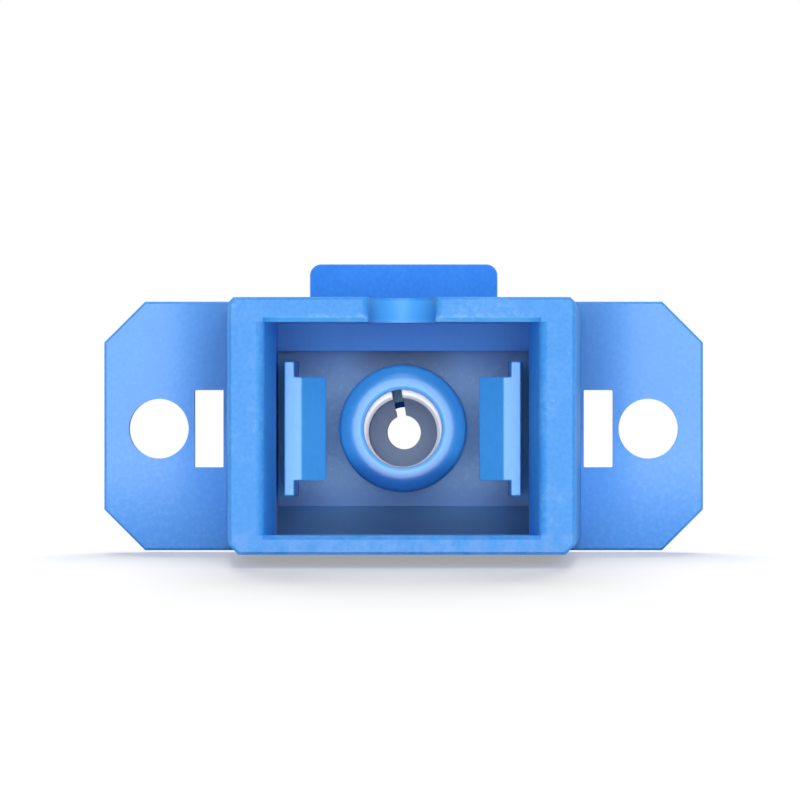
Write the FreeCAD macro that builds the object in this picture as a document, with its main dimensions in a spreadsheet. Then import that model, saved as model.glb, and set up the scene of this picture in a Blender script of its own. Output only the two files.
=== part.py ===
import FreeCAD, Part
import os
import re

import Sketcher

# Flanged panel adapter that joins a square push-pull plug with a 2.5 mm ferrule to a small
# latched plug with a 1.25 mm ferrule. All sizes are in millimetres.
# The origin is where the optical axis crosses the flange's panel face: +Y runs along that axis
# from the square port to the small port, +Z is up, on the keyed side.
SIZES = [
    ("flange_plate", 1.0, "thickness of each half of the flange"),
    ("flange_height", 9.14, "upright size of the flange"),
    ("flange_corner_cut", 1.5, "corner cut of the flange"),
    ("flange_edge_bevel", 0.08, "bevel of the flange's outer edges"),
    ("screw_pitch", 18.0, "distance between the two screw holes"),
    ("screw_hole", 2.2, "diameter of the screw holes"),
    ("screw_edge", 2.0, "centre of a screw hole to the flange's tip"),
    ("clip_slot_height", 2.84, "clip slot between body and screw hole, upright"),
    ("clip_slot_gap", 0.1, "strip of flange between body and clip slot"),
    ("clip_slot_web", 0.21, "strip of flange between clip slot and screw hole"),
    ("outline_rise", 0.1, "middle of the body and of the flange above the optical axis"),
    ("body_front_width", 12.5, "square-port body across its front face"),
    ("body_draft_angle", 1.3, "draft of each side, in degrees"),
    ("body_height", 9.3, "upright size of the square-port body"),
    ("body_length", 12.0, "front face to panel face"),
    ("body_top_cut", 0.18, "cut along the body's two upper long edges"),
    ("body_bottom_cut", 0.35, "cut along the body's two lower long edges"),
    ("body_edge_bevel", 0.1, "bevel of the front face's outer edge"),
    ("cavity_width", 9.2, "plug cavity across"),
    ("cavity_height", 7.7, "plug cavity upright"),
    ("mouth_lead_in", 0.42, "lead-in at the mouth's two sides, across"),
    ("mouth_lead_depth", 1.4, "depth of the lead-in at the mouth's two sides"),
    ("mouth_lead_round", 0.35, "rounding between the lead-in and the front face"),
    ("mouth_bevel", 0.16, "bevel at the mouth's top and bottom"),
    ("ledge_depth", 9.0, "front face to the start of the sloped ledges"),
    ("upper_ledge_slope", 0.6, "depth of the upper ledge's slope"),
    ("lower_ledge_slope", 2.0, "depth of the lower ledge's slope"),
    ("window_height", 5.7, "opening between the upper and the lower ledge"),
    ("key_slot_width", 2.4, "key slot in the top wall, across"),
    ("key_slot_length", 5.0, "key slot in the top wall, from the front face"),
    ("key_slot_round", 0.28, "rounding of the key slot's two front corners"),
    ("seat_depth", 0.6, "panel face to the bottom of the latch insert's seat"),
    ("seat_step", 0.25, "seat wider than cavity on each side"),
    ("seat_gap", 0.05, "clearance around the latch insert's plate"),
    ("insert_plate", 1.2, "thickness of the latch insert's plate"),
    ("hook_side_gap", 0.3, "room between a hook and the cavity wall"),
    ("hook_end_gap", 0.41, "room between a hook's end and a ledge"),
    ("hook_length", 6.6, "plate to hook tip"),
    ("hook_tip", 0.36, "thickness of a hook's arm at the tip"),
    ("hook_root", 0.45, "thickness of a hook's arm at the plate"),
    ("barb_height", 3.77, "upright size of a hook's barb"),
    ("barb_flat", 0.28, "blunt front of a barb"),
    ("barb_reach", 1.15, "arm to the nose of the barb"),
    ("barb_ramp", 1.1, "depth of the barb's lead-in ramp"),
    ("barb_nose", 0.4, "land on the nose of the barb"),
    ("barb_undercut", 0.2, "backward lean of the barb's catch face"),
    ("large_ferrule", 2.5, "sleeve bore for the square plug's ferrule"),
    ("small_ferrule", 1.25, "sleeve bore for the small plug's ferrule"),
    ("head_wall", 0.35, "wall of the sleeve's wide end"),
    ("tail_wall", 0.22, "wall of the sleeve's narrow end"),
    ("head_bore_length", 6.2, "depth of the sleeve's wide bore"),
    ("sleeve_shoulder", 0.8, "wall between the two bores"),
    ("tail_length", 4.6, "narrow end of the sleeve, outside"),
    ("sleeve_bevel", 0.1, "bevel at the sleeve's bore mouths"),
    ("slit_width", 0.35, "slit along the sleeve"),
    ("slit_turn", 8.5, "angle of the slit from the top, to the left"),
    ("sleeve_float", 0.15, "radial room of the sleeve in its holders"),
    ("sleeve_rest_gap", 0.01, "room under the sleeve where it lies in its holders"),
    ("sleeve_end_gap", 0.1, "end play of the sleeve at each end"),
    ("lip_clearance", 0.02, "holder lip clear of a ferrule in the resting sleeve"),
    ("tube_wall", 0.57, "wall of the large sleeve holder"),
    ("tube_lip", 0.5, "thickness of the large holder's lip"),
    ("tube_nose_round", 0.56, "rounding around the large holder's front"),
    ("tube_lead_in", 0.16, "dished band inside the large holder's front, across"),
    ("tube_dish", 0.08, "depth of the dished band"),
    ("small_tube_wall", 0.45, "wall of the small sleeve holder"),
    ("small_tube_lip", 0.4, "thickness of the small holder's lip"),
    ("small_tube_nose_cut", 0.3, "bevel around the small holder's end"),
    ("rear_width", 6.9, "small-port housing across"),
    ("rear_top", 6.05, "axis to the roof of the small-port housing"),
    ("rear_bottom", 3.7, "axis to the underside of the small-port housing"),
    ("rear_length", 11.0, "rear of the flange to the small port's mouth"),
    ("rear_corner_round", 0.42, "rounding of the small-port housing's long edges"),
    ("rear_wall", 2.0, "partition behind the parting plane"),
    ("port_size", 4.6, "small plug cavity, across and upright"),
    ("port_bevel", 0.3, "lead-in around the small port's mouth"),
    ("latch_slot_width", 2.9, "slot for the plug's latch arm"),
    ("latch_top", 4.9, "axis to the roof of the latch space"),
    ("catch_wall", 2.4, "depth of the two catches at the mouth"),
]

doc = FreeCAD.newDocument("hybrid_fibre_adapter")
sheet = doc.addObject("Spreadsheet::Sheet", "sizes")
for row, (alias, value, note) in enumerate(SIZES, 1):
    sheet.set(f"A{row}", note)
    sheet.set(f"B{row}", str(value))
    sheet.setAlias(f"B{row}", alias)
doc.recompute()

# How near two places are that count as one
NEAR = 1e-4

# Places along the optical axis and sizes across it that several pieces share
FLANGE_HALF = "(screw_pitch / 2 + screw_edge)"
BODY_BASE_HALF = "(body_front_width / 2 + body_length * tan(body_draft_angle))"
SLOT_INNER = f"({BODY_BASE_HALF} + clip_slot_gap)"
SLOT_OUTER = "(screw_pitch / 2 - screw_hole / 2 - clip_slot_web)"
PLATE_HALF_WIDTH = "(cavity_width / 2 + seat_step - seat_gap)"
PLATE_HALF_HEIGHT = "(cavity_height / 2 + seat_step - seat_gap)"
PLATE_BACK = "(insert_plate - seat_depth)"
HEAD_RADIUS = "(large_ferrule / 2 + head_wall)"
TAIL_RADIUS = "(small_ferrule / 2 + tail_wall)"
HEAD_FRONT = "(flange_plate - head_bore_length)"
HEAD_BACK = "(flange_plate + sleeve_shoulder)"
TAIL_END = f"({HEAD_BACK} + tail_length)"
HOLDER_BORE = f"({HEAD_RADIUS} + sleeve_float)"
HOLDER_LIP = "(large_ferrule / 2 + sleeve_float + lip_clearance)"
HOLDER_RADIUS = f"({HOLDER_BORE} + tube_wall)"
HOLDER_FRONT = f"({HEAD_FRONT} - sleeve_end_gap - tube_lip)"
SMALL_BORE = f"({TAIL_RADIUS} + sleeve_float)"
SMALL_LIP = "(small_ferrule / 2 + sleeve_float + lip_clearance)"
SMALL_RADIUS = f"({SMALL_BORE} + small_tube_wall)"
SMALL_END = f"({TAIL_END} + sleeve_end_gap + small_tube_lip)"
REAR_MOUTH = "(2 * flange_plate + rear_length)"
PORT_FLOOR = "(flange_plate + rear_wall)"


def bound(formula):
    """Return the formula with every size's name, but no function's, pointing at its cell."""
    return re.sub(r"\b[a-z_]+\b(?!\()", r"sizes.\g<0>", formula)


def size_of(formula):
    """Return a formula's present value."""
    return float(sheet.evalExpression(bound(formula)))


def lies_at(shape, axis, *levels):
    """Tell whether a whole edge or face lies at one of the levels of the axis X, Y or Z."""
    low = getattr(shape.BoundBox, f"{axis}Min")
    high = getattr(shape.BoundBox, f"{axis}Max")
    return any(abs(low - level) < NEAR and abs(high - level) < NEAR for level in levels)


def new_body(name):
    """Start a sub-part; its label names its file."""
    body = doc.addObject("PartDesign::Body", name)
    body.Label = name
    return body


def origin_feature(body, role):
    """Return one of the body's own origin planes or axes."""
    return next(item for item in body.Origin.OriginFeatures if item.Role == role)


def new_sketch(body, name, role, offset="0"):
    """Attach a sketch to an origin plane, moved along the plane's normal by a formula."""
    sketch = body.newObject("Sketcher::SketchObject", name)
    sketch.AttachmentSupport = [(origin_feature(body, role), "")]
    sketch.MapMode = "FlatFace"
    sketch.setExpression("AttachmentOffset.Base.z", bound(offset))
    return sketch


def cross_section(body, name, y_level="0"):
    """Attach a sketch across the optical axis at a place along it; it reads X and Z."""
    return new_sketch(body, name, "XZ_Plane", f"-({y_level})")


def tie(sketch, kind, element, point, formula, start):
    """Tie one coordinate of a sketched point to a formula of the sheet."""
    number = sketch.addConstraint(Sketcher.Constraint(kind, -1, 1, element, point, start))
    sketch.setExpression(f"Constraints[{number}]", bound(formula))


def outline(sketch, corners):
    """Draw a closed outline of straight sides whose corners are pairs of formulas."""
    first = sketch.GeometryCount
    places = [FreeCAD.Vector(size_of(across), size_of(upright), 0) for across, upright in corners]
    count = len(corners)
    for index in range(count):
        side = Part.LineSegment(places[index], places[(index + 1) % count])
        sketch.addGeometry(side, False)
    for index in range(count):
        following = first + (index + 1) % count
        sketch.addConstraint(Sketcher.Constraint("Coincident", first + index, 2, following, 1))
    for index, (across, upright) in enumerate(corners):
        tie(sketch, "DistanceX", first + index, 1, across, places[index].x)
        tie(sketch, "DistanceY", first + index, 1, upright, places[index].y)
    return sketch


def rectangle(sketch, left, right, low, high):
    """Draw a rectangle between four formulas."""
    return outline(sketch, [(left, low), (right, low), (right, high), (left, high)])


def centred_rectangle(sketch, half_width, half_height):
    """Draw a rectangle around the optical axis."""
    return rectangle(sketch, f"-{half_width}", half_width, f"-{half_height}", half_height)


def cut_corner_rectangle(sketch, half_width, height, top_cut, bottom_cut):
    """Draw an outer outline with its four corners cut at 45 degrees and its middle at the rise."""
    top = f"(outline_rise + {height} / 2)"
    bottom = f"(outline_rise - {height} / 2)"
    return outline(sketch, [
        (f"{bottom_cut} - {half_width}", bottom), (f"{half_width} - {bottom_cut}", bottom),
        (half_width, f"{bottom} + {bottom_cut}"), (half_width, f"{top} - {top_cut}"),
        (f"{half_width} - {top_cut}", top), (f"{top_cut} - {half_width}", top),
        (f"-{half_width}", f"{top} - {top_cut}"), (f"-{half_width}", f"{bottom} + {bottom_cut}"),
    ])


def circle(sketch, across, upright, diameter):
    """Draw a circle with its centre and diameter tied to formulas."""
    centre = FreeCAD.Vector(size_of(across), size_of(upright), 0)
    up = FreeCAD.Vector(0, 0, 1)
    size = size_of(diameter)
    element = sketch.addGeometry(Part.Circle(centre, up, size / 2), False)
    tie(sketch, "DistanceX", element, 3, across, centre.x)
    tie(sketch, "DistanceY", element, 3, upright, centre.y)
    number = sketch.addConstraint(Sketcher.Constraint("Diameter", element, size))
    sketch.setExpression(f"Constraints[{number}]", bound(diameter))
    return sketch


def volume_after(body):
    """Recompute and return the body's volume, or nothing for an empty body."""
    doc.recompute()
    return 0.0 if body.Shape.isNull() else body.Shape.Volume


def extrude(body, kind, name, sketch, length, reverse=False, both_ways=False):
    """Pad or pocket a sketch by a formula and make sure that it adds or removes material."""
    before = volume_after(body)
    feature = body.newObject(f"PartDesign::{kind}", name)
    feature.Profile = sketch
    feature.SideType = "Symmetric" if both_ways else "One side"
    feature.Reversed = reverse
    feature.setExpression("Length", bound(length))
    changed(body, feature, before, kind == "Pad")
    return feature


def turn(body, kind, name, sketch):
    """Turn a sketch of Y against radius once round the optical axis."""
    before = volume_after(body)
    feature = body.newObject(f"PartDesign::{kind}", name)
    feature.Profile = sketch
    feature.ReferenceAxis = (sketch, ["H_Axis"])
    changed(body, feature, before, kind == "Revolution")
    return feature


def changed(body, feature, before, adds):
    """Stop unless the feature added or removed material as it should."""
    after = volume_after(body)
    if (after <= before) if adds else (after >= before):
        raise RuntimeError(f"{feature.Name} leaves the volume at {after} from {before}")


def ease(body, kind, name, size, chosen):
    """Round or bevel the edges of the body that the test chooses."""
    doc.recompute()
    tip = body.Tip
    edges = [f"Edge{n}" for n, edge in enumerate(tip.Shape.Edges, 1) if chosen(edge)]
    feature = body.newObject(f"PartDesign::{kind}", name)
    feature.Base = (tip, edges)
    feature.setExpression("Radius" if kind == "Fillet" else "Size", bound(size))
    doc.recompute()
    return feature


def mirror(body, name, features):
    """Mirror features across the upright plane through the optical axis."""
    feature = body.newObject("PartDesign::Mirrored", name)
    feature.Originals = features
    feature.MirrorPlane = (origin_feature(body, "YZ_Plane"), [""])
    body.Tip = feature
    doc.recompute()
    return feature


def flange_half(body, y_front, outer_face):
    """Make one half of the flange: a plate with its outer edges bevelled."""
    sketch = cross_section(body, "flange_outline", y_front)
    cut_corner_rectangle(
        sketch, FLANGE_HALF, "flange_height", "flange_corner_cut", "flange_corner_cut")
    extrude(body, "Pad", "flange", sketch, "flange_plate", reverse=True)
    outer_level = size_of(outer_face)
    ease(body, "Chamfer", "flange_bevel", "flange_edge_bevel",
         lambda edge: lies_at(edge, "Y", outer_level))


def flange_openings(body, y_front):
    """Cut the screw holes and the clip slots through one half of the flange."""
    holes = cross_section(body, "screw_hole_outlines", y_front)
    for side in ("-", ""):
        circle(holes, f"{side}screw_pitch / 2", "0", "screw_hole")
    extrude(body, "Pocket", "screw_holes", holes, "flange_plate")
    slots = cross_section(body, "clip_slot_outlines", y_front)
    half_height = "(clip_slot_height / 2)"
    rectangle(slots, SLOT_INNER, SLOT_OUTER, f"-{half_height}", half_height)
    rectangle(slots, f"-{SLOT_OUTER}", f"-{SLOT_INNER}", f"-{half_height}", half_height)
    extrude(body, "Pocket", "clip_slots", slots, "flange_plate")


def draft_sides(body):
    """Lean the body's two sides outwards towards the flange."""
    before = volume_after(body)
    block = body.Tip
    side = size_of("body_front_width / 2")
    front_level = -size_of("body_length")
    faces = [(f"Face{number}", face) for number, face in enumerate(block.Shape.Faces, 1)]
    draft = body.newObject("PartDesign::Draft", "side_draft")
    draft.Base = (block, [name for name, face in faces if lies_at(face, "X", -side, side)])
    draft.NeutralPlane = (block, [name for name, face in faces if lies_at(face, "Y", front_level)])
    draft.Reversed = True
    doc.recompute()
    draft.setExpression("Angle", bound("body_draft_angle"))
    changed(body, draft, before, True)


def front_housing():
    """Square-port half: drafted body, plug cavity with ledges, key slot and half the flange."""
    body = new_body("front_housing")
    flange_half(body, "0", "0")

    front = cross_section(body, "body_front", "-body_length")
    cut_corner_rectangle(
        front, "(body_front_width / 2)", "body_height", "body_top_cut", "body_bottom_cut")
    extrude(body, "Pad", "body_block", front, "body_length + flange_plate", reverse=True)
    draft_sides(body)
    front_level = -size_of("body_length")
    ease(body, "Chamfer", "front_bevel", "body_edge_bevel",
         lambda edge: lies_at(edge, "Y", front_level))

    cavity = new_sketch(body, "cavity_profile", "YZ_Plane")
    ledge_start = "(ledge_depth - body_length)"
    lower_end = f"({ledge_start} + lower_ledge_slope)"
    upper_end = f"({ledge_start} + upper_ledge_slope)"
    outline(cavity, [
        ("-body_length", "-cavity_height / 2"), (ledge_start, "-cavity_height / 2"),
        (lower_end, "-window_height / 2"), ("flange_plate", "-window_height / 2"),
        ("flange_plate", "window_height / 2"), (upper_end, "window_height / 2"),
        (ledge_start, "cavity_height / 2"), ("-body_length", "cavity_height / 2"),
    ])
    extrude(body, "Pocket", "cavity", cavity, "cavity_width", both_ways=True)
    lead_in = new_sketch(body, "mouth_lead_in_outline", "XY_Plane")
    lead_half = "(cavity_width / 2 + mouth_lead_in)"
    lead_end = "(mouth_lead_depth - body_length)"
    outline(lead_in, [
        (f"-{lead_half}", "-body_length"), (lead_half, "-body_length"),
        ("cavity_width / 2", lead_end), ("-cavity_width / 2", lead_end),
    ])
    extrude(body, "Pocket", "mouth_lead_ins", lead_in, "cavity_height", both_ways=True)
    lead_side = size_of(lead_half)
    ease(body, "Fillet", "mouth_lead_rounding", "mouth_lead_round",
         lambda edge: lies_at(edge, "Y", front_level) and lies_at(edge, "X", -lead_side, lead_side))

    bevel = new_sketch(body, "mouth_bevel_profile", "YZ_Plane")
    for side in ("-", ""):
        mouth_edge = f"{side}(cavity_height / 2)"
        outline(bevel, [
            ("-body_length", mouth_edge), ("mouth_bevel - body_length", mouth_edge),
            ("-body_length", f"{side}(cavity_height / 2 + mouth_bevel)"),
        ])
    bevel_width = "cavity_width + 2 * mouth_lead_in"
    extrude(body, "Pocket", "mouth_bevels", bevel, bevel_width, both_ways=True)

    seat = cross_section(body, "insert_seat_outline", "flange_plate")
    centred_rectangle(seat, f"({PLATE_HALF_WIDTH} + seat_gap)", f"({PLATE_HALF_HEIGHT} + seat_gap)")
    extrude(body, "Pocket", "insert_seat", seat, "flange_plate + seat_depth", reverse=True)

    key = new_sketch(body, "key_slot_outline", "XY_Plane")
    round_centre = "(key_slot_length - key_slot_width / 2 - body_length)"
    half_width = "(key_slot_width / 2)"
    rectangle(key, f"-{half_width}", half_width, "-body_length", round_centre)
    body_top = "outline_rise + body_height / 2"
    extrude(body, "Pocket", "key_slot", key, body_top, reverse=True)
    key_side = size_of(half_width)
    ease(body, "Fillet", "key_slot_rounding", "key_slot_round",
         lambda edge: lies_at(edge, "Y", front_level) and lies_at(edge, "X", -key_side, key_side))
    key_end = new_sketch(body, "key_slot_end_outline", "XY_Plane")
    circle(key_end, "0", round_centre, "key_slot_width")
    extrude(body, "Pocket", "key_slot_end", key_end, body_top, reverse=True)

    flange_openings(body, "0")
    return body


def latch_insert():
    """Latch insert: seat plate, two spring hooks and the holder tube of the sleeve's wide end."""
    body = new_body("latch_insert")
    plate = cross_section(body, "plate_outline", PLATE_BACK)
    centred_rectangle(plate, PLATE_HALF_WIDTH, PLATE_HALF_HEIGHT)
    extrude(body, "Pad", "plate", plate, "insert_plate")

    holder = new_sketch(body, "holder_profile", "YZ_Plane")
    rectangle(holder, PLATE_BACK, HOLDER_FRONT, "0", HOLDER_RADIUS)
    turn(body, "Revolution", "holder", holder)
    holder_level = size_of(HOLDER_FRONT)
    ease(body, "Fillet", "holder_rounding", "tube_nose_round",
         lambda edge: lies_at(edge, "Y", holder_level))
    bore = new_sketch(body, "holder_bore_profile", "YZ_Plane")
    lip_back = f"({HOLDER_FRONT} + tube_lip)"
    outline(bore, [
        (PLATE_BACK, "0"), (PLATE_BACK, HOLDER_BORE), (lip_back, HOLDER_BORE),
        (lip_back, HOLDER_LIP), (f"{HOLDER_FRONT} + tube_dish", HOLDER_LIP),
        (HOLDER_FRONT, f"{HOLDER_LIP} + tube_lead_in"), (HOLDER_FRONT, "0"),
    ])
    turn(body, "Groove", "holder_bore", bore)

    arm = new_sketch(body, "hook_arm_outline", "XY_Plane")
    outer = "(cavity_width / 2 - hook_side_gap)"
    inner = f"({outer} - hook_tip)"
    tip = "(-seat_depth - hook_length)"
    outline(arm, [
        (outer, "-seat_depth"), (outer, tip), (inner, tip),
        (f"{outer} - hook_root", "-seat_depth"),
    ])
    arm_pad = extrude(body, "Pad", "hook_arm", arm, "window_height - 2 * hook_end_gap", both_ways=True)
    barb = new_sketch(body, "hook_barb_outline", "XY_Plane")
    nose = f"({inner} - barb_reach)"
    catch = f"({tip} + barb_ramp + barb_nose)"
    outline(barb, [
        (inner, tip), (f"{inner} - barb_flat", tip), (nose, f"{tip} + barb_ramp"), (nose, catch),
        (inner, f"{catch} + barb_undercut"),
    ])
    barb_pad = extrude(body, "Pad", "hook_barb", barb, "barb_height", both_ways=True)
    mirror(body, "hook_pair", [arm_pad, barb_pad])
    return body


def split_sleeve():
    """Stepped ceramic sleeve with a slit along its whole length, lying in its holders."""
    body = new_body("split_sleeve")
    profile = new_sketch(body, "sleeve_profile", "YZ_Plane")
    large = "(large_ferrule / 2)"
    small = "(small_ferrule / 2)"
    outline(profile, [
        (HEAD_FRONT, f"{large} + sleeve_bevel"), (HEAD_FRONT, HEAD_RADIUS),
        (HEAD_BACK, HEAD_RADIUS), (HEAD_BACK, TAIL_RADIUS),
        (TAIL_END, TAIL_RADIUS), (TAIL_END, f"{small} + sleeve_bevel"),
        (f"{TAIL_END} - sleeve_bevel", small), ("flange_plate", small),
        ("flange_plate", large), (f"{HEAD_FRONT} + sleeve_bevel", large),
    ])
    turn(body, "Revolution", "sleeve", profile)
    slit = cross_section(body, "slit_outline", HEAD_FRONT)
    rectangle(slit, "-slit_width / 2", "slit_width / 2", "0", HEAD_RADIUS)
    extrude(body, "Pocket", "slit", slit, "head_bore_length + sleeve_shoulder + tail_length")
    body.Placement = FreeCAD.Placement(
        FreeCAD.Vector(0, 0, 0), FreeCAD.Rotation(FreeCAD.Vector(0, -1, 0), size_of("slit_turn")))
    body.setExpression("Placement.Base.z", bound("sleeve_rest_gap - sleeve_float"))
    return body


def rear_housing():
    """Small-port half: half the flange, latched port and the holder of the sleeve's narrow end."""
    body = new_body("rear_housing")
    flange_half(body, "flange_plate", "2 * flange_plate")

    shell = cross_section(body, "shell_outline", "flange_plate")
    rectangle(shell, "-rear_width / 2", "rear_width / 2", "-rear_bottom", "rear_top")
    extrude(body, "Pad", "shell", shell, "rear_length + flange_plate", reverse=True)
    side = size_of("rear_width / 2")
    roof = size_of("rear_top")
    underside = -size_of("rear_bottom")
    ease(body, "Fillet", "shell_rounding", "rear_corner_round",
         lambda edge: lies_at(edge, "X", -side, side) and lies_at(edge, "Z", underside, roof))

    spigot = cross_section(body, "spigot_outline", "flange_plate")
    centred_rectangle(spigot, PLATE_HALF_WIDTH, PLATE_HALF_HEIGHT)
    extrude(body, "Pad", "spigot", spigot, f"flange_plate - {PLATE_BACK}")

    port = cross_section(body, "port_outline", REAR_MOUTH)
    centred_rectangle(port, "(port_size / 2)", "(port_size / 2)")
    extrude(body, "Pocket", "port", port, f"{REAR_MOUTH} - {PORT_FLOOR}", reverse=True)
    slot = cross_section(body, "latch_slot_outline", REAR_MOUTH)
    rectangle(slot, "-latch_slot_width / 2", "latch_slot_width / 2", "0", "latch_top")
    extrude(body, "Pocket", "latch_slot", slot, "catch_wall", reverse=True)
    space = cross_section(body, "latch_space_outline", f"{REAR_MOUTH} - catch_wall")
    rectangle(space, "-port_size / 2", "port_size / 2", "0", "latch_top")
    extrude(body, "Pocket", "latch_space", space, f"{REAR_MOUTH} - catch_wall - {PORT_FLOOR}",
            reverse=True)
    lead_in = new_sketch(body, "port_lead_in_outline", "XY_Plane")
    outline(lead_in, [
        ("-(port_size / 2 + port_bevel)", REAR_MOUTH), ("port_size / 2 + port_bevel", REAR_MOUTH),
        ("port_size / 2", f"{REAR_MOUTH} - port_bevel"), ("-port_size / 2", f"{REAR_MOUTH} - port_bevel"),
    ])
    extrude(body, "Pocket", "port_lead_in", lead_in, "port_size", both_ways=True)

    holder = new_sketch(body, "holder_profile", "YZ_Plane")
    outline(holder, [
        ("flange_plate", "0"), ("flange_plate", SMALL_RADIUS),
        (f"{SMALL_END} - small_tube_nose_cut", SMALL_RADIUS),
        (SMALL_END, f"{SMALL_RADIUS} - small_tube_nose_cut"), (SMALL_END, "0"),
    ])
    turn(body, "Revolution", "holder", holder)
    bore = new_sketch(body, "holder_bore_profile", "YZ_Plane")
    head_room = f"({HEAD_BACK} + sleeve_end_gap)"
    lip_front = f"({SMALL_END} - small_tube_lip)"
    outline(bore, [
        (PLATE_BACK, "0"), (PLATE_BACK, HOLDER_BORE), (head_room, HOLDER_BORE),
        (head_room, SMALL_BORE), (lip_front, SMALL_BORE), (lip_front, SMALL_LIP),
        (SMALL_END, SMALL_LIP), (SMALL_END, "0"),
    ])
    turn(body, "Groove", "holder_bore", bore)

    flange_openings(body, "flange_plate")
    return body


def check_document(bodies):
    """Stop if any object failed or any sub-part is empty, broken or in more than one piece."""
    doc.recompute()
    for item in doc.Objects:
        if "Invalid" in item.State or "Error" in item.State:
            raise RuntimeError(f"{item.Name} failed: {item.State}")
    for body in bodies:
        shape = body.Shape
        if shape.isNull() or not shape.isValid() or len(shape.Solids) != 1:
            raise RuntimeError(f"{body.Label} is not one valid solid")


parts = [front_housing(), latch_insert(), split_sleeve(), rear_housing()]
check_document(parts)
os.makedirs("parts", exist_ok=True)
for part in parts:
    part.Shape.exportStep(f"parts/{part.Label}.step")
    print(part.Label, round(part.Shape.Volume, 3), part.Shape.BoundBox)
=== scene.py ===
import math

import bmesh
import bpy
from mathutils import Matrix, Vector


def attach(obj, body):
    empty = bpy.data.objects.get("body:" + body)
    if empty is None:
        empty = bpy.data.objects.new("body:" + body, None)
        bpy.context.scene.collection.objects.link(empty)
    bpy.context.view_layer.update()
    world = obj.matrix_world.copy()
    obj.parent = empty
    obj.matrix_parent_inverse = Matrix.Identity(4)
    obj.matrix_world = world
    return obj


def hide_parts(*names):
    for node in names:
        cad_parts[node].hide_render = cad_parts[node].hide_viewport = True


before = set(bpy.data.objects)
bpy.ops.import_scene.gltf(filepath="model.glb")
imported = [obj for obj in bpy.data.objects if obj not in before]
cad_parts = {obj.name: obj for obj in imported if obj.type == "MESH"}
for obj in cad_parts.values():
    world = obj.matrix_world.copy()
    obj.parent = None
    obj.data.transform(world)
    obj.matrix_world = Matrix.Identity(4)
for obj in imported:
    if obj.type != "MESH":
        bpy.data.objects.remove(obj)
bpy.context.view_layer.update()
scene = bpy.context.scene

MM = 0.001

# Sizes of the adapter that its finishes and the paper refer to, in millimetres
FRONT_FACE_Y = -12.0
PANEL_FACE_Y = 0.0
REAR_FACE_Y = 13.0
UNDERSIDE_Z = -4.55
BODY_TOP_Z = 4.75
BODY_HALF_WIDTH = 6.52
CAVITY_HALF_WIDTH = 4.6
CAVITY_HALF_HEIGHT = 3.85
KEY_SLOT_SIDE_X = 1.2
KEY_SLOT_END_Y = -7.0
FLANGE_FOOT_Z = -4.47
HOLDER_FRONT_Y = -5.8
HOLDER_RADIUS = 2.32
HOLDER_FLAT_RADIUS = 1.76
SLEEVE_SEAT_Y = 1.9
SLEEVE_SEAT_RADIUS = 1.75

# Rounding of the moulded edges and of the ground ceramic edges, in millimetres
HOUSING_EDGE = 0.06
INSERT_EDGE = 0.05
SLEEVE_EDGE = 0.025
EDGE_SEGMENTS = 3
MERGE_DISTANCE = 0.0004
SHARP_ANGLE = math.radians(28)
FLAT_ANGLE = math.radians(0.6)

# Name of the attribute that marks the rounded edges of a piece, and how pale they are worn
WORN_EDGE = "worn_edge"
EDGE_WEAR = 0.2

# Sizes of the skins' patterns, in millimetres
# The real pits, polishing marks and grinding marks are a few hundredths of a millimetre wide, which is
# too fine to show, so they are drawn as coarse as they need to show
PIT_SIZE = 0.14
PIT_DEPTH = 0.0035
POLISH_SIZE = 0.18
POLISH_DEPTH = 0.0008
GRINDING_SIZE = 0.08
GRINDING_DEPTH = 0.0006
FINE_MOTTLE = 0.16
BROAD_MOTTLE = 1.8

# Refraction of the two materials
PBT_IOR = 1.5
ZIRCONIA_IOR = 2.1

# Camera, in millimetres: its frame is FRAME_WIDTH wide at the panel face
FRAME_WIDTH = 29.4
SENSOR_WIDTH = 36.0
CAMERA_DISTANCE = 640.0
CAMERA_AZIMUTH = math.radians(0.3)
SHIFT_X = -0.0045
SHIFT_Y = 0.0358

# Level of the surroundings' light, the paper's own glow, and how far off the lamps are, in millimetres
AMBIENT = 0.12
PAPER_LIFT = 0.35
LIGHT_DISTANCE = 800.0

# Sheet of paper, in millimetres
PAPER_HALF_WIDTH = 160.0
PAPER_FLAT_FRONT_Y = 3.0
PAPER_FLAT_BACK_Y = 14.0
PAPER_ROLL_RADIUS = 220.0
PAPER_ROLL_ANGLE = math.radians(20)
PAPER_ROLL_STEPS = 24

# Colours of the square-port half
HOUSING_BLUE = "#2a8ce2"
HOUSING_PALE = "#419df2"
FLANGE_PALE = "#62a8f2"
# Painted shade of the panel face beside the body
FLANGE_PAINTED_SHADE = "#23609f"
# Painted light on the panel face low down near the body
FLANGE_PAINTED_LIGHT = "#4aa8ff"
# Pale of worn edges, frost and scuffs, and of the painted highlight on the tube's lip
WEAR_AND_HIGHLIGHT_PALE = "#8cc4fb"
FROST_PALE = "#8fbcff"
# Painted light on the key slot and just inside the mouth's top edge
KEY_WAY_PAINTED_LIGHT = "#52b4ff"
# Painted light inside the port
PORT_PAINTED_LIGHT = "#78b4fa"
# Painted shade that makes the bottom of the port greyer
PORT_PAINTED_SHADE = "#95b3aa"

# Colours of the small-port half, the latch insert, the sleeve and the surroundings
# Painted shade: the small-port half's deeper blue
REAR_SHADED_BLUE = "#1f81df"
INSERT_BLUE = "#50b8ff"
# Painted shade on the tube's nose
INSERT_PAINTED_SHADE = "#1a58aa"
# Painted shade: the greyer, darker blue of the plate deep in the port
PLATE_SHADED_BLUE = "#4678b8"
# Painted shade on the plate above the tube
PLATE_PAINTED_SHADE = "#2c4a70"
# Pale of dust, and of the painted light on the plate beside the tube
DUST_AND_LIGHT_PALE = "#a8dcff"
ZIRCONIA = "#fff8ee"
ZIRCONIA_PALE = "#fffaf2"
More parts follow.
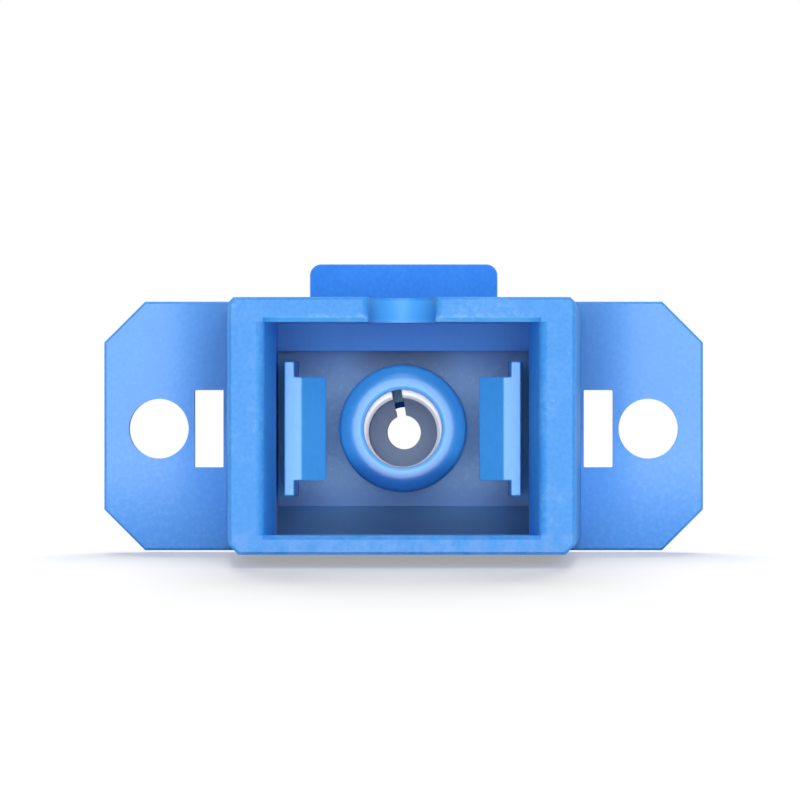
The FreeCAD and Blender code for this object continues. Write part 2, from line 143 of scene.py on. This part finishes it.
# Painted shade down the sleeve's bore
BORE_PAINTED_SHADE = "#9cb2d8"
PAPER_WHITE = "#cacaca"
WHITE = "#ffffff"


def linear(hex_colour):
    """Turn an sRGB hex colour into linear values with full opacity."""
    values = []
    for start in (1, 3, 5):
        share = int(hex_colour[start:start + 2], 16) / 255
        values.append(share / 12.92 if share <= 0.04045 else ((share + 0.055) / 1.055) ** 2.4)
    return (*values, 1.0)


def per_mm(size):
    """Texture scale at which a pattern's cell is this many millimetres."""
    return 1 / (size * MM)


def add_node(tree, kind, settings=None, values=None, links=None):
    """Add a node, set its options and socket values, and link its inputs."""
    node = tree.nodes.new(kind)
    for name, value in (settings or {}).items():
        setattr(node, name, value)
    for name, value in (values or {}).items():
        node.inputs[name].default_value = value
    for name, source in (links or {}).items():
        tree.links.new(source, node.inputs[name])
    return node


def new_material(name):
    """Start an empty node material."""
    material = bpy.data.materials.new(name)
    material.use_nodes = True
    material.node_tree.nodes.clear()
    return material


def rounded_copy(node, name, material, edge_round):
    """Stand for a CAD node with a merged copy whose sharp edges are rounded."""
    shape = bmesh.new()
    shape.from_mesh(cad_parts[node].data)
    bmesh.ops.remove_doubles(shape, verts=shape.verts, dist=MERGE_DISTANCE * MM)
    bmesh.ops.dissolve_limit(shape, angle_limit=FLAT_ANGLE, verts=shape.verts, edges=shape.edges)
    sharp = [edge for edge in shape.edges
             if len(edge.link_faces) == 2 and edge.calc_face_angle() > SHARP_ANGLE]
    worn = shape.faces.layers.float.new(WORN_EDGE)
    rounded = bmesh.ops.bevel(
        shape, geom=sharp, offset=edge_round * MM, offset_type="OFFSET", affect="EDGES",
        segments=EDGE_SEGMENTS, profile=0.5, material=-1, clamp_overlap=True)
    for face in rounded["faces"]:
        face[worn] = 1.0
    for face in shape.faces:
        face.smooth = True
        face.material_index = 0
    mesh = bpy.data.meshes.new(name)
    shape.to_mesh(mesh)
    shape.free()
    mesh.materials.append(material)
    piece = bpy.data.objects.new(name, mesh)
    scene.collection.objects.link(piece)
    normals = piece.modifiers.new("flat_faces_stay_flat", "WEIGHTED_NORMAL")
    normals.keep_sharp = True
    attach(piece, "root")
    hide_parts(node)


def zone(tree, place, axis, none_at, full_at):
    """Mask along X, Y or Z, in millimetres: it goes softly from nought to one between two places."""
    along = add_node(tree, "ShaderNodeSeparateXYZ", links={"Vector": place}).outputs[axis]
    change = add_node(tree, "ShaderNodeMapRange", {"interpolation_type": "SMOOTHSTEP"},
                      {"From Min": none_at * MM, "From Max": full_at * MM}, {"Value": along})
    return change.outputs["Result"]


def around_axis(tree, place, none_at, full_at):
    """Mask by the distance from the optical axis, in millimetres."""
    across = add_node(tree, "ShaderNodeVectorMath", {"operation": "MULTIPLY"}, {1: (1, 0, 1)}, {0: place})
    radius = add_node(tree, "ShaderNodeVectorMath", {"operation": "LENGTH"},
                      links={0: across.outputs["Vector"]})
    change = add_node(tree, "ShaderNodeMapRange", {"interpolation_type": "SMOOTHSTEP"},
                      {"From Min": none_at * MM, "From Max": full_at * MM},
                      {"Value": radius.outputs["Value"]})
    return change.outputs["Result"]


def cloudiness(tree, place, size, low, high):
    """Mask of soft patches: nought below the low level of the noise, one above the high level."""
    noise = add_node(tree, "ShaderNodeTexNoise",
                     values={"Scale": per_mm(size), "Detail": 3.0, "Roughness": 0.6},
                     links={"Vector": place})
    patches = add_node(tree, "ShaderNodeMapRange", {"interpolation_type": "SMOOTHSTEP"},
                       {"From Min": low, "From Max": high}, {"Value": noise.outputs["Fac"]})
    return patches.outputs["Result"]


def grain(tree, place, size, depth):
    """The fine unevenness of a skin, as a change of the surface's normal."""
    pits = add_node(tree, "ShaderNodeTexNoise",
                    values={"Scale": per_mm(size), "Detail": 2.0, "Roughness": 0.55},
                    links={"Vector": place})
    bump = add_node(tree, "ShaderNodeBump", values={"Strength": 1.0, "Distance": depth * MM},
                    links={"Height": pits.outputs["Fac"]})
    return bump.outputs["Normal"]


def strength(tree, masks, share):
    """How strongly a finish shows: its share where all its masks are one, less where one fades."""
    total = add_node(tree, "ShaderNodeMath", {"operation": "MULTIPLY"}, {1: share}, {0: masks[0]})
    for mask in masks[1:]:
        total = add_node(tree, "ShaderNodeMath", {"operation": "MULTIPLY"},
                         links={0: total.outputs["Value"], 1: mask})
    return total.outputs["Value"]


def layered(tree, ground, layers):
    """Lay colours over a ground colour, each given by its masks, its share and its colour."""
    colour = None
    for masks, share, hex_colour in layers:
        over = add_node(tree, "ShaderNodeMix", {"data_type": "RGBA"},
                        {"A": linear(ground), "B": linear(hex_colour)},
                        {"Factor": strength(tree, masks, share)})
        if colour is not None:
            tree.links.new(colour, over.inputs["A"])
        colour = over.outputs["Result"]
    return colour


def patchy_roughness(tree, masks, plain, changed):
    """A plain roughness that changes where all the masks are one."""
    level = add_node(tree, "ShaderNodeMapRange", values={"To Min": plain, "To Max": changed},
                     links={"Value": strength(tree, masks, 1.0)})
    return level.outputs["Result"]


def housing_pbt():
    """PBT, injection moulded in a spark-eroded tool: a satin blue skin mottled by fine pits, with worn
    edges. The mouth is frosted and scuffed where plugs rub it, most beside the key slot and along the
    bottom, and its top edge and the key slot have painted light that makes them paler. The panel face is
    smoother and paler at its ends, has painted shade by the body and at its foot and painted light low
    down near the body, and is grained low down. The port has painted light that makes it paler inside,
    and painted shade that makes it greyer near its bottom."""
    material = new_material("moulded_pbt_satin")
    tree = material.node_tree
    place = add_node(tree, "ShaderNodeTexCoord").outputs["Object"]
    span = add_node(tree, "ShaderNodeVectorMath", {"operation": "ABSOLUTE"},
                    links={0: place}).outputs["Vector"]

    # Panel face of the flange
    flange = [zone(tree, place, "Y", none_at=PANEL_FACE_Y - 0.06, full_at=PANEL_FACE_Y - 0.02),
              zone(tree, place, "Y", none_at=PANEL_FACE_Y + 0.1, full_at=PANEL_FACE_Y + 0.04)]
    # Painted shade on the upper panel face beside the body
    shade_by_body = [zone(tree, span, "X", none_at=BODY_HALF_WIDTH + 2.2, full_at=BODY_HALF_WIDTH),
               zone(tree, place, "Z", none_at=-2.0, full_at=1.0)]
    low = [zone(tree, place, "Z", none_at=1.0, full_at=-1.5)]
    # Painted light on the lower panel face near the body
    near_body = [zone(tree, span, "X", none_at=BODY_HALF_WIDTH + 3.0, full_at=BODY_HALF_WIDTH + 1.0)]
    # Painted shade at the foot of the panel face, where its pale tint is taken off
    foot = [zone(tree, place, "Z", none_at=-1.5, full_at=FLANGE_FOOT_Z + 0.07)]
    low_grain = [cloudiness(tree, place, size=0.2, low=0.45, high=0.65)]
    smooth_end = [zone(tree, span, "X", none_at=BODY_HALF_WIDTH + 0.5, full_at=BODY_HALF_WIDTH + 2.5),
                  zone(tree, place, "Z", none_at=FLANGE_FOOT_Z + 0.07, full_at=-1.2)]

    # Rim around the mouth
    ceiling = CAVITY_HALF_HEIGHT
    rim = [zone(tree, place, "Y", none_at=FRONT_FACE_Y + 0.5, full_at=FRONT_FACE_Y + 0.1)]
    frost = [cloudiness(tree, place, size=2.2, low=0.42, high=0.7),
             cloudiness(tree, place, size=0.2, low=0.35, high=0.7)]
    low_frost = [zone(tree, place, "Z", none_at=-3.6, full_at=-3.9),
                 cloudiness(tree, place, size=0.6, low=0.35, high=0.65)]
    scuffs = [cloudiness(tree, place, size=0.28, low=0.66, high=0.78)]
    key_scuffs = [zone(tree, span, "X", none_at=3.8, full_at=3.0),
                  zone(tree, place, "Z", none_at=ceiling - 0.05, full_at=ceiling + 0.1),
                  zone(tree, place, "Z", none_at=ceiling + 0.35, full_at=ceiling + 0.2),
                  cloudiness(tree, place, size=0.25, low=0.42, high=0.62)]
    # Painted light on the ceiling just inside the mouth's top edge
    mouth_top = [zone(tree, place, "Z", none_at=ceiling - 0.05, full_at=ceiling - 0.01),
                 zone(tree, place, "Z", none_at=ceiling + 0.21, full_at=ceiling + 0.15),
                 zone(tree, place, "Y", none_at=FRONT_FACE_Y + 3.0, full_at=FRONT_FACE_Y + 1.0),
                 zone(tree, span, "X", none_at=CAVITY_HALF_WIDTH + 0.5, full_at=CAVITY_HALF_WIDTH - 0.3)]

    # Walls of the port and of the key slot
    # Painted light on the walls deep inside the port
    port = [zone(tree, place, "Y", none_at=FRONT_FACE_Y + 1.5, full_at=FRONT_FACE_Y + 5.0),
            zone(tree, span, "X", none_at=CAVITY_HALF_WIDTH + 0.15, full_at=CAVITY_HALF_WIDTH + 0.05),
            zone(tree, span, "Z", none_at=CAVITY_HALF_HEIGHT + 0.15, full_at=CAVITY_HALF_HEIGHT + 0.05)]
    # Painted shade, greyer near the bottom of the port
    port_bottom = [zone(tree, place, "Z", none_at=-2.0, full_at=-3.2)]
    # Painted light on the walls of the key slot
    key_way = [zone(tree, span, "X", none_at=KEY_SLOT_SIDE_X + 0.15, full_at=KEY_SLOT_SIDE_X + 0.02),
               zone(tree, place, "Y", none_at=FRONT_FACE_Y + 0.1, full_at=FRONT_FACE_Y + 0.6),
               zone(tree, place, "Y", none_at=KEY_SLOT_END_Y + 0.3, full_at=KEY_SLOT_END_Y + 0.05),
               zone(tree, place, "Z", none_at=ceiling + 0.02, full_at=ceiling + 0.12),
               zone(tree, place, "Z", none_at=BODY_TOP_Z - 0.03, full_at=BODY_TOP_Z - 0.13)]

    # The whole skin
    mottle = [cloudiness(tree, place, FINE_MOTTLE, low=0.3, high=0.7)]
    clouds = [cloudiness(tree, place, BROAD_MOTTLE, low=0.35, high=0.7)]
    edges = [add_node(tree, "ShaderNodeAttribute", {"attribute_name": WORN_EDGE}).outputs["Fac"]]
    colour = layered(tree, HOUSING_BLUE, [
        (mottle, 0.6, HOUSING_PALE),
        (clouds, 0.2, HOUSING_PALE),
        (flange, 0.12, FLANGE_PALE),
        # Painted shade by the body, painted light low down near it, and painted shade at the foot
        (flange + shade_by_body, 0.45, FLANGE_PAINTED_SHADE),
        (flange + low + near_body, 0.42, FLANGE_PAINTED_LIGHT),
        (flange + foot, 0.5, HOUSING_BLUE),
        (flange + low + low_grain, 0.35, FLANGE_PALE),
        # Painted light inside the port, and painted shade that makes it greyer near its bottom
        (port, 0.62, PORT_PAINTED_LIGHT),
        (port + port_bottom, 0.45, PORT_PAINTED_SHADE),
        # Painted light on the key slot and just inside the mouth's top edge
        (key_way, 0.6, KEY_WAY_PAINTED_LIGHT),
        (mouth_top, 0.8, KEY_WAY_PAINTED_LIGHT),
        (edges, EDGE_WEAR, WEAR_AND_HIGHLIGHT_PALE),
        (rim + frost, 0.3, WEAR_AND_HIGHLIGHT_PALE),
        (rim + low_frost, 0.22, FROST_PALE),
        (rim + scuffs, 0.45, WEAR_AND_HIGHLIGHT_PALE),
        (rim + key_scuffs, 0.4, WEAR_AND_HIGHLIGHT_PALE),
    ])
    roughness = patchy_roughness(tree, flange + smooth_end, plain=0.52, changed=0.38)
    surface = add_node(tree, "ShaderNodeBsdfPrincipled", values={"IOR": PBT_IOR},
                       links={"Base Color": colour, "Roughness": roughness,
                              "Normal": grain(tree, place, PIT_SIZE, PIT_DEPTH)})
    add_node(tree, "ShaderNodeOutputMaterial", links={"Surface": surface.outputs["BSDF"]})
    return material


def rear_pbt():
    """PBT, injection moulded in a spark-eroded tool: a deeper blue, which is painted shade, and a duller
    skin mottled by fine pits, with worn edges, a scuffed mouth and pale dust where the sleeve sits."""
    material = new_material("moulded_pbt_dull")
    tree = material.node_tree
    place = add_node(tree, "ShaderNodeTexCoord").outputs["Object"]
    scuffed_rim = [zone(tree, place, "Y", none_at=REAR_FACE_Y - 0.5, full_at=REAR_FACE_Y - 0.1),
                   cloudiness(tree, place, size=0.28, low=0.62, high=0.76)]
    sleeve_seat = [around_axis(tree, place, none_at=SLEEVE_SEAT_RADIUS + 0.1, full_at=SLEEVE_SEAT_RADIUS),
                   zone(tree, place, "Y", none_at=SLEEVE_SEAT_Y + 0.5, full_at=SLEEVE_SEAT_Y + 0.3)]
    mottle = [cloudiness(tree, place, FINE_MOTTLE, low=0.3, high=0.7)]
    clouds = [cloudiness(tree, place, BROAD_MOTTLE, low=0.35, high=0.7)]
    edges = [add_node(tree, "ShaderNodeAttribute", {"attribute_name": WORN_EDGE}).outputs["Fac"]]
    # The ground colour is a painted shade, deeper than the square-port half
    colour = layered(tree, REAR_SHADED_BLUE, [
        (mottle, 0.3, HOUSING_PALE),
        (clouds, 0.2, HOUSING_PALE),
        (edges, EDGE_WEAR, WEAR_AND_HIGHLIGHT_PALE),
        (scuffed_rim, 0.4, WEAR_AND_HIGHLIGHT_PALE),
        (sleeve_seat, 0.9, DUST_AND_LIGHT_PALE),
    ])
    surface = add_node(tree, "ShaderNodeBsdfPrincipled",
                       values={"IOR": PBT_IOR, "Roughness": 0.55, "Specular IOR Level": 0.25},
                       links={"Base Color": colour, "Normal": grain(tree, place, PIT_SIZE, PIT_DEPTH)})
    add_node(tree, "ShaderNodeOutputMaterial", links={"Surface": surface.outputs["BSDF"]})
    return material


def insert_pbt():
    """PBT, injection moulded in a polished tool: smooth hooks and a tube that catch the light. The
    tube's nose has painted shade towards its rim and most on its underside, and a painted highlight
    on its lip. The plate deep in the port is dull and painted a greyer, darker shade, with more painted
    shade above the tube, painted light and patchy dust on both sides of it, and painted light behind
    the hooks."""
    material = new_material("moulded_pbt_smooth")
    tree = material.node_tree
    place = add_node(tree, "ShaderNodeTexCoord").outputs["Object"]
    span = add_node(tree, "ShaderNodeVectorMath", {"operation": "ABSOLUTE"},
                    links={0: place}).outputs["Vector"]

    # Nose of the holder tube
    # Painted shade on the nose outside its flat ring, most on its underside
    nose = [around_axis(tree, place, none_at=HOLDER_FLAT_RADIUS - 0.2, full_at=HOLDER_FLAT_RADIUS + 0.06),
            around_axis(tree, place, none_at=HOLDER_RADIUS + 0.2, full_at=HOLDER_RADIUS + 0.1)]
    shoulder = [around_axis(tree, place, none_at=HOLDER_RADIUS, full_at=HOLDER_RADIUS - 0.3)]
    underside = [zone(tree, place, "Z", none_at=-0.6, full_at=-1.8)]
    # Painted highlight on the tube's lip
    lip = [around_axis(tree, place, none_at=HOLDER_FLAT_RADIUS - 0.14, full_at=HOLDER_FLAT_RADIUS - 0.2),
           zone(tree, place, "Y", none_at=HOLDER_FRONT_Y + 0.4, full_at=HOLDER_FRONT_Y + 0.3)]

    # Seat plate
    plate = [zone(tree, place, "Y", none_at=-2.0, full_at=-0.8)]
    # Painted shade on the plate above the tube
    above_tube = [zone(tree, place, "Z", none_at=1.6, full_at=2.5),
                  zone(tree, span, "X", none_at=2.4, full_at=1.0)]
    # Painted light on the plate beside the tube, with patches of dust there
    beside_tube = [zone(tree, span, "Z", none_at=2.8, full_at=1.2)]
    dust = [cloudiness(tree, place, size=0.22, low=0.5, high=0.7)]
    # Painted light: the plate behind the hooks goes back to the brighter insert blue
    light_behind_hooks = [zone(tree, span, "X", none_at=3.9, full_at=4.2),
                    zone(tree, span, "Z", none_at=2.8, full_at=2.2)]

    # The whole skin
    mottle = [cloudiness(tree, place, size=0.3, low=0.3, high=0.7)]
    edges = [add_node(tree, "ShaderNodeAttribute", {"attribute_name": WORN_EDGE}).outputs["Fac"]]
    colour = layered(tree, INSERT_BLUE, [
        (mottle, 0.2, HOUSING_PALE),
        # Painted shade on the tube's nose, most on its underside
        (nose + shoulder, 0.4, INSERT_PAINTED_SHADE),
        (nose + underside, 0.8, INSERT_PAINTED_SHADE),
        # Painted highlight on the tube's lip
        (lip, 0.45, WEAR_AND_HIGHLIGHT_PALE),
        # Painted shade: a greyer, darker blue over the plate deep in the port
        (plate, 0.85, PLATE_SHADED_BLUE),
        (edges, EDGE_WEAR, WEAR_AND_HIGHLIGHT_PALE),
        # Painted shade on the plate above the tube
        (plate + above_tube, 0.5, PLATE_PAINTED_SHADE),
        # Painted light beside the tube, then patches of dust there
        (plate + beside_tube, 0.65, DUST_AND_LIGHT_PALE),
        (plate + beside_tube + dust, 0.4, DUST_AND_LIGHT_PALE),
        # Painted light on the plate behind the hooks
        (plate + light_behind_hooks, 0.9, INSERT_BLUE),
    ])
    roughness = patchy_roughness(tree, plate, plain=0.33, changed=0.5)
    surface = add_node(tree, "ShaderNodeBsdfPrincipled", values={"IOR": PBT_IOR},
                       links={"Base Color": colour, "Roughness": roughness,
                              "Normal": grain(tree, place, POLISH_SIZE, POLISH_DEPTH)})
    add_node(tree, "ShaderNodeOutputMaterial", links={"Surface": surface.outputs["BSDF"]})
    return material


def ground_zirconia():
    """Zirconia, sintered and ground: an ivory white with a soft gloss, faintly cloudy, and duller down
    its bore, which is painted a shaded grey."""
    material = new_material("ground_zirconia")
    tree = material.node_tree
    place = add_node(tree, "ShaderNodeTexCoord").outputs["Object"]
    clouds = [cloudiness(tree, place, size=0.6, low=0.3, high=0.7)]
    # Painted shade down the bore
    bore = [zone(tree, place, "Y", none_at=-4.8, full_at=-1.0)]
    colour = layered(tree, ZIRCONIA, [
        (clouds, 0.5, ZIRCONIA_PALE),
        (bore, 0.95, BORE_PAINTED_SHADE),
    ])
    roughness = patchy_roughness(tree, bore, plain=0.45, changed=0.85)
    surface = add_node(tree, "ShaderNodeBsdfPrincipled", values={"IOR": ZIRCONIA_IOR},
                       links={"Base Color": colour, "Roughness": roughness,
                              "Normal": grain(tree, place, GRINDING_SIZE, GRINDING_DEPTH)})
    add_node(tree, "ShaderNodeOutputMaterial", links={"Surface": surface.outputs["BSDF"]})
    return material


def seen_directly(tree):
    """One for rays from the camera or off a gloss or through a clear surface, else nought."""
    path = add_node(tree, "ShaderNodeLightPath").outputs
    direct = path["Is Camera Ray"]
    for other in ("Is Glossy Ray", "Is Transmission Ray"):
        direct = add_node(tree, "ShaderNodeMath", {"operation": "MAXIMUM"},
                          links={0: direct, 1: path[other]}).outputs["Value"]
    return direct


def white_surroundings():
    """White to the eye, and an even ambient light for the object."""
    world = bpy.data.worlds.new("white_surroundings")
    world.use_nodes = True
    tree = world.node_tree
    tree.nodes.clear()
    ambient = add_node(tree, "ShaderNodeBackground", values={"Color": linear(WHITE), "Strength": AMBIENT})
    white = add_node(tree, "ShaderNodeBackground", values={"Color": linear(WHITE), "Strength": 1.0})
    mix = add_node(tree, "ShaderNodeMixShader",
                   links={0: seen_directly(tree), 1: ambient.outputs["Background"],
                          2: white.outputs["Background"]})
    add_node(tree, "ShaderNodeOutputWorld", links={"Surface": mix.outputs["Shader"]})
    scene.world = world


def white_paper():
    """Matt white paper, lit a little from behind: white where it is open to the light, grey where the
    adapter shades it."""
    material = new_material("white_paper")
    tree = material.node_tree
    paper = add_node(tree, "ShaderNodeBsdfDiffuse", values={"Color": linear(PAPER_WHITE)})
    lift = add_node(tree, "ShaderNodeMath", {"operation": "MULTIPLY"}, {1: PAPER_LIFT},
                    {0: seen_directly(tree)})
    glow = add_node(tree, "ShaderNodeEmission", values={"Color": linear(WHITE)},
                    links={"Strength": lift.outputs["Value"]})
    sheet = add_node(tree, "ShaderNodeAddShader",
                     links={0: paper.outputs["BSDF"], 1: glow.outputs["Emission"]})
    add_node(tree, "ShaderNodeOutputMaterial", links={"Surface": sheet.outputs["Shader"]})
    return material


def paper_floor():
    """A sheet of paper that lies flat behind the flange and rolls gently down to the front and back."""
    side = -PAPER_HALF_WIDTH * MM
    level = UNDERSIDE_Z * MM
    shape = bmesh.new()
    back = shape.verts.new((side, PAPER_FLAT_BACK_Y * MM, level))
    front = shape.verts.new((side, PAPER_FLAT_FRONT_Y * MM, level))
    shape.edges.new((back, front))
    for end, turn in ((back, -PAPER_ROLL_ANGLE), (front, PAPER_ROLL_ANGLE)):
        centre = end.co - Vector((0, 0, PAPER_ROLL_RADIUS * MM))
        bmesh.ops.spin(shape, geom=[end], cent=centre, axis=(1, 0, 0), angle=turn,
                       steps=PAPER_ROLL_STEPS)
    across = bmesh.ops.extrude_edge_only(shape, edges=shape.edges[:])["geom"]
    moved = [item for item in across if isinstance(item, bmesh.types.BMVert)]
    bmesh.ops.translate(shape, verts=moved, vec=(2 * PAPER_HALF_WIDTH * MM, 0, 0))
    bmesh.ops.recalc_face_normals(shape, faces=shape.faces)
    for face in shape.faces:
        face.smooth = True
    mesh = bpy.data.meshes.new("paper_floor")
    shape.to_mesh(mesh)
    shape.free()
    mesh.materials.append(white_paper())
    floor = bpy.data.objects.new("paper_floor", mesh)
    scene.collection.objects.link(floor)


def softbox(name, azimuth, elevation, half_angle, brightness):
    """A round soft light that looks at the adapter, with angles in degrees: where it stands, and half
    of the angle that it fills there."""
    around = math.radians(azimuth)
    above = math.radians(elevation)
    place = LIGHT_DISTANCE * MM * Vector((
        math.sin(around) * math.cos(above), -math.cos(around) * math.cos(above), math.sin(above)))
    radius = LIGHT_DISTANCE * MM * math.tan(math.radians(half_angle))
    area = math.pi * radius ** 2
    light = bpy.data.lights.new(name, "AREA")
    light.shape = "DISK"
    light.size = 2 * radius
    # A disk of even brightness gives off pi times its brightness and its area
    light.energy = math.pi * brightness * area
    lamp = bpy.data.objects.new(name, light)
    lamp.location = place
    lamp.rotation_euler = (-place).to_track_quat("-Z", "Y").to_euler()
    scene.collection.objects.link(lamp)


def camera():
    """Long lens, level with the optical axis and almost straight before the square port."""
    lens = bpy.data.cameras.new("camera")
    lens.sensor_width = SENSOR_WIDTH
    lens.lens = SENSOR_WIDTH * CAMERA_DISTANCE / FRAME_WIDTH
    lens.shift_x = SHIFT_X
    lens.shift_y = SHIFT_Y
    lens.clip_start = 0.01
    lens.clip_end = 100.0
    eye = bpy.data.objects.new("camera", lens)
    back = Vector((math.sin(CAMERA_AZIMUTH), -math.cos(CAMERA_AZIMUTH), 0))
    eye.location = back * CAMERA_DISTANCE * MM
    eye.rotation_euler = (-back).to_track_quat("-Z", "Y").to_euler()
    scene.collection.objects.link(eye)
    scene.camera = eye


rounded_copy("front_housing", "square_port_half", housing_pbt(), HOUSING_EDGE)
rounded_copy("rear_housing", "small_port_half", rear_pbt(), HOUSING_EDGE)
rounded_copy("latch_insert", "latch_insert_moulding", insert_pbt(), INSERT_EDGE)
rounded_copy("split_sleeve", "stepped_split_sleeve", ground_zirconia(), SLEEVE_EDGE)

paper_floor()
white_surroundings()
softbox("front_light", azimuth=0, elevation=3, half_angle=15, brightness=8.2)
softbox("top_front_light", azimuth=8, elevation=40, half_angle=22, brightness=1.7)
softbox("top_back_light", azimuth=180, elevation=48, half_angle=20, brightness=9.0)
softbox("left_light", azimuth=-80, elevation=25, half_angle=32, brightness=0.42)
softbox("right_light", azimuth=80, elevation=25, half_angle=32, brightness=0.42)
camera()

scene.view_settings.view_transform = "Standard"
